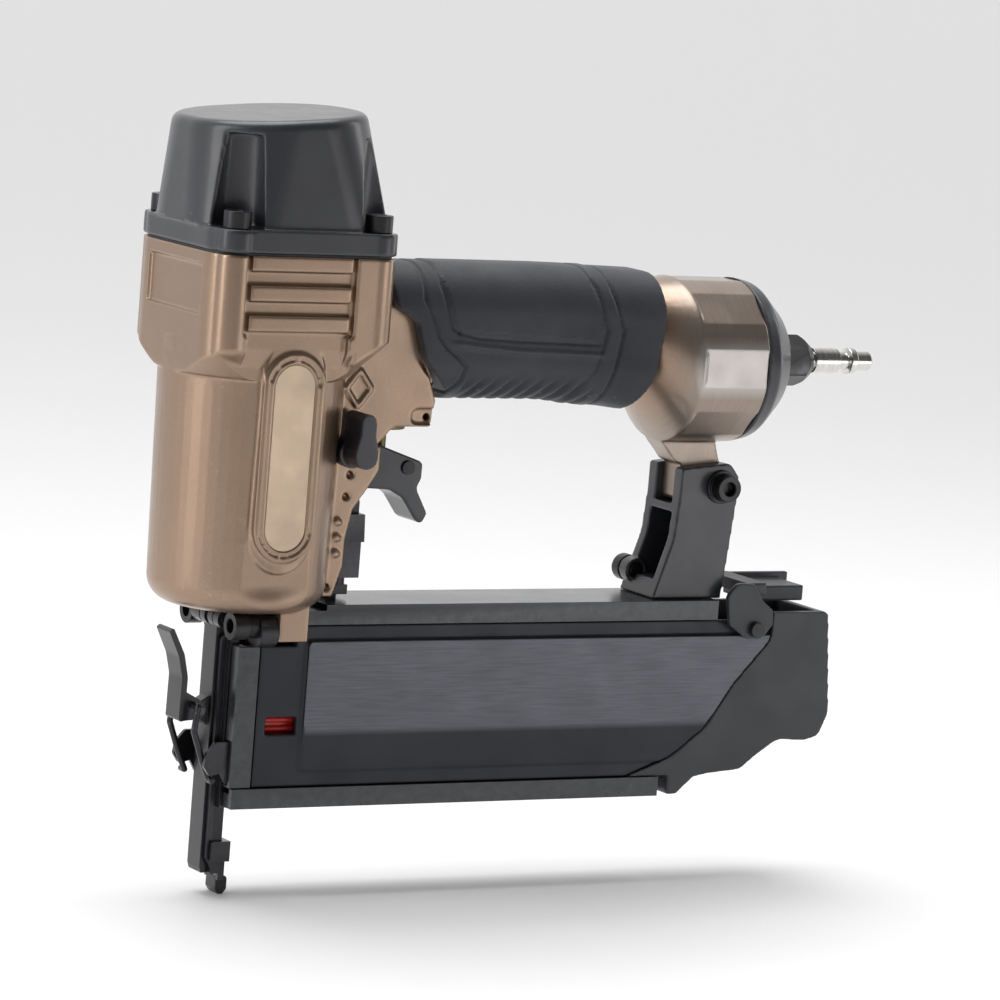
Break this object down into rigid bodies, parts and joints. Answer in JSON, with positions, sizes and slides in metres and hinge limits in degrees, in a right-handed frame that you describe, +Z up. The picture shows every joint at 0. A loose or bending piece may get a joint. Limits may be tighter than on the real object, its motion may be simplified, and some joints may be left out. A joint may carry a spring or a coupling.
{
  "type": "pneumatic nail gun",
  "caption": "Air-powered brad nailer with a cast body, rubber grip, side-loading sliding magazine, trigger, contact tip and quick-clear nose.",
  "frame": {"origin": "on the driver axis, level with the tip of the contact foot, where the tool touches the work", "axes": "+Z runs up the driver axis to the cap; +X runs back along the magazine to the air plug; -Y is the operator's left-hand side when the nose points down and away"},
  "size_m": [0.2556, 0.06, 0.2423],
  "materials": {
    "bronze_casting": "satin bronze metallic coat on a die casting",
    "cream_plate": "satin",
    "black_moulding": "satin moulded",
    "seal_rubber": "matte",
    "bumper_rubber": "matte",
    "black_fastener": "black oxide",
    "black_nose_steel": "black oxide, satin",
    "bare_steel": "ground",
    "spring_steel": "drawn wire",
    "valve_brass": "turned, dulled",
    "valve_plastic": "smooth",
    "grip_rubber": "fine grained",
    "plated_steel": "polished nickel",
    "black_trigger": "satin black",
    "black_rail": "black anodised",
    "charcoal_cover": "satin brushed, dark anodised",
    "charcoal_grip": "satin",
    "red_pusher": "gloss"
  },
  "bodies": {
    "gun_body": {"air_plug": "plated_steel", "arm_foot_screw": "black_fastener", "arm_nut": "black_fastener", "arm_screw": "black_fastener", "cap_gasket": "seal_rubber", "cap_screws": "black_fastener", "contact_spring": "spring_steel", "cylinder_cap": "black_moulding", "cylinder_sleeve": "bare_steel", "door_hinge_pin": "bare_steel", "end_cap_gasket": "seal_rubber", "grip_sleeve": "grip_rubber", "head_valve_spring": "spring_steel", "inlet_bushing": "black_fastener", "magazine_front_plate": "black_rail", "magazine_rail": "black_rail", "main_housing": "bronze_casting", "nose_base": "black_nose_steel", "nose_screws": "black_fastener", "piston_bumper": "bumper_rubber", "rear_end_cap": "black_moulding", "side_plate_far": "cream_plate", "side_plate_near": "cream_plate", "sleeve_o_ring": "seal_rubber", "support_arm": "black_moulding", "trigger_pivot_pin": "bare_steel", "trigger_valve_body": "valve_brass", "trigger_valve_spring": "spring_steel"},
    "trigger_body": {"trigger": "black_trigger", "idler_pin": "black_fastener"},
    "idler": {"trigger_idler": "black_nose_steel"},
    "valve_stem": {"trigger_valve_stem": "valve_brass"},
    "selector": {"mode_selector": "black_moulding"},
    "contact_upper": {"contact_arm_upper": "black_nose_steel"},
    "depth_wheel_body": {"depth_wheel": "black_moulding"},
    "contact_lower": {"contact_arm_lower": "black_nose_steel", "contact_tip": "black_nose_steel"},
    "piston": {"drive_piston": "bare_steel", "piston_o_ring": "seal_rubber", "driver_blade": "bare_steel"},
    "head_valve_body": {"head_valve": "valve_plastic"},
    "door": {"nose_door": "black_nose_steel", "latch_pin": "black_fastener"},
    "lever": {"latch_lever": "black_nose_steel"},
    "bail": {"latch_bail": "black_nose_steel"},
    "sliding_magazine": {"magazine_cover": "charcoal_cover", "magazine_rear_grip": "charcoal_grip", "magazine_latch_pin": "black_fastener"},
    "magazine_latch_body": {"magazine_latch": "charcoal_grip"},
    "pusher_body": {"pusher": "red_pusher", "pusher_roll_spring": "spring_steel", "roll_spring_hub": "bare_steel"}
  },
  "joints": [
    {"name": "trigger_pull", "type": "hinge", "parent": "gun_body", "child": "trigger_body", "pos_m": [0.037, 0, 0.138], "axis": [0, -1, 0], "range_deg": [0, 8], "stiffness_Nm_per_rad": 1, "springref_deg": -2.86},
    {"name": "idler_tilt", "type": "hinge", "parent": "trigger_body", "child": "idler", "pos_m": [0.0564, 0, 0.133], "axis": [0, 1, 0], "range_deg": [0, 7.1]},
    {"name": "valve_stem_lift", "type": "slide", "parent": "gun_body", "child": "valve_stem", "axis": [0, 0, 1], "range_m": [0, 0.0019], "deforming": ["trigger_valve_spring"]},
    {"name": "mode_select", "type": "hinge", "parent": "gun_body", "child": "selector", "pos_m": [0.0305, 0, 0.139], "axis": [0, 1, 0], "range_deg": [0, 90]},
    {"name": "contact_slide", "type": "slide", "parent": "gun_body", "child": "contact_upper", "axis": [0, 0, 1], "range_m": [0, 0.006], "stiffness_N_per_m": 900, "springref_m": -0.004, "deforming": ["contact_spring"]},
    {"name": "depth_wheel_turn", "type": "hinge", "parent": "contact_upper", "child": "depth_wheel_body", "pos_m": [0.0375, 0, 0.106], "axis": [0, 0, 1], "range_deg": [-360, 360]},
    {"name": "depth_slide", "type": "slide", "parent": "contact_upper", "child": "contact_lower", "axis": [0, 0, 1], "range_m": [-0.001, 0.001]},
    {"name": "drive_stroke", "type": "slide", "parent": "gun_body", "child": "piston", "axis": [0, 0, -1], "range_m": [0, 0.082]},
    {"name": "head_valve_lift", "type": "slide", "parent": "gun_body", "child": "head_valve_body", "axis": [0, 0, 1], "range_m": [0, 0.003], "stiffness_N_per_m": 2500, "springref_m": -0.003, "deforming": ["head_valve_spring"]},
    {"name": "door_open", "type": "hinge", "parent": "gun_body", "child": "door", "pos_m": [-0.0033, 0, 0.0863], "axis": [0, 1, 0], "range_deg": [0, 60]},
    {"name": "lever_swing", "type": "hinge", "parent": "door", "child": "lever", "pos_m": [-0.008, 0, 0.0575], "axis": [0, -1, 0], "range_deg": [0, 60]},
    {"name": "bail_swing", "type": "hinge", "parent": "lever", "child": "bail", "pos_m": [-0.011, 0, 0.0595], "axis": [0, 1, 0], "range_deg": [0, 60]},
    {"name": "magazine_slide", "type": "slide", "parent": "gun_body", "child": "sliding_magazine", "axis": [1, 0, 0], "range_m": [0, 0.12]},
    {"name": "magazine_latch_press", "type": "hinge", "parent": "sliding_magazine", "child": "magazine_latch_body", "pos_m": [0.1833, 0, 0.0825], "axis": [0, 1, 0], "range_deg": [0, 5], "stiffness_Nm_per_rad": 0.8, "springref_deg": -4.58},
    {"name": "pusher_slide", "type": "slide", "parent": "sliding_magazine", "child": "pusher_body", "axis": [1, 0, 0], "range_m": [0, 0.1], "stiffness_N_per_m": 30, "springref_m": -0.05}
  ],
  "couplings": [
    {"joint": "valve_stem_lift", "follows": "trigger_pull", "m_per_rad": 0.0136},
    {"joint": "idler_tilt", "follows": "contact_slide", "rad_per_m": 20.362},
    {"joint": "depth_wheel_turn", "follows": "depth_slide", "rad_per_m": 6283.2},
    {"joint": "lever_swing", "follows": "door_open", "ratio": 1},
    {"joint": "bail_swing", "follows": "door_open", "ratio": 1}
  ]
}
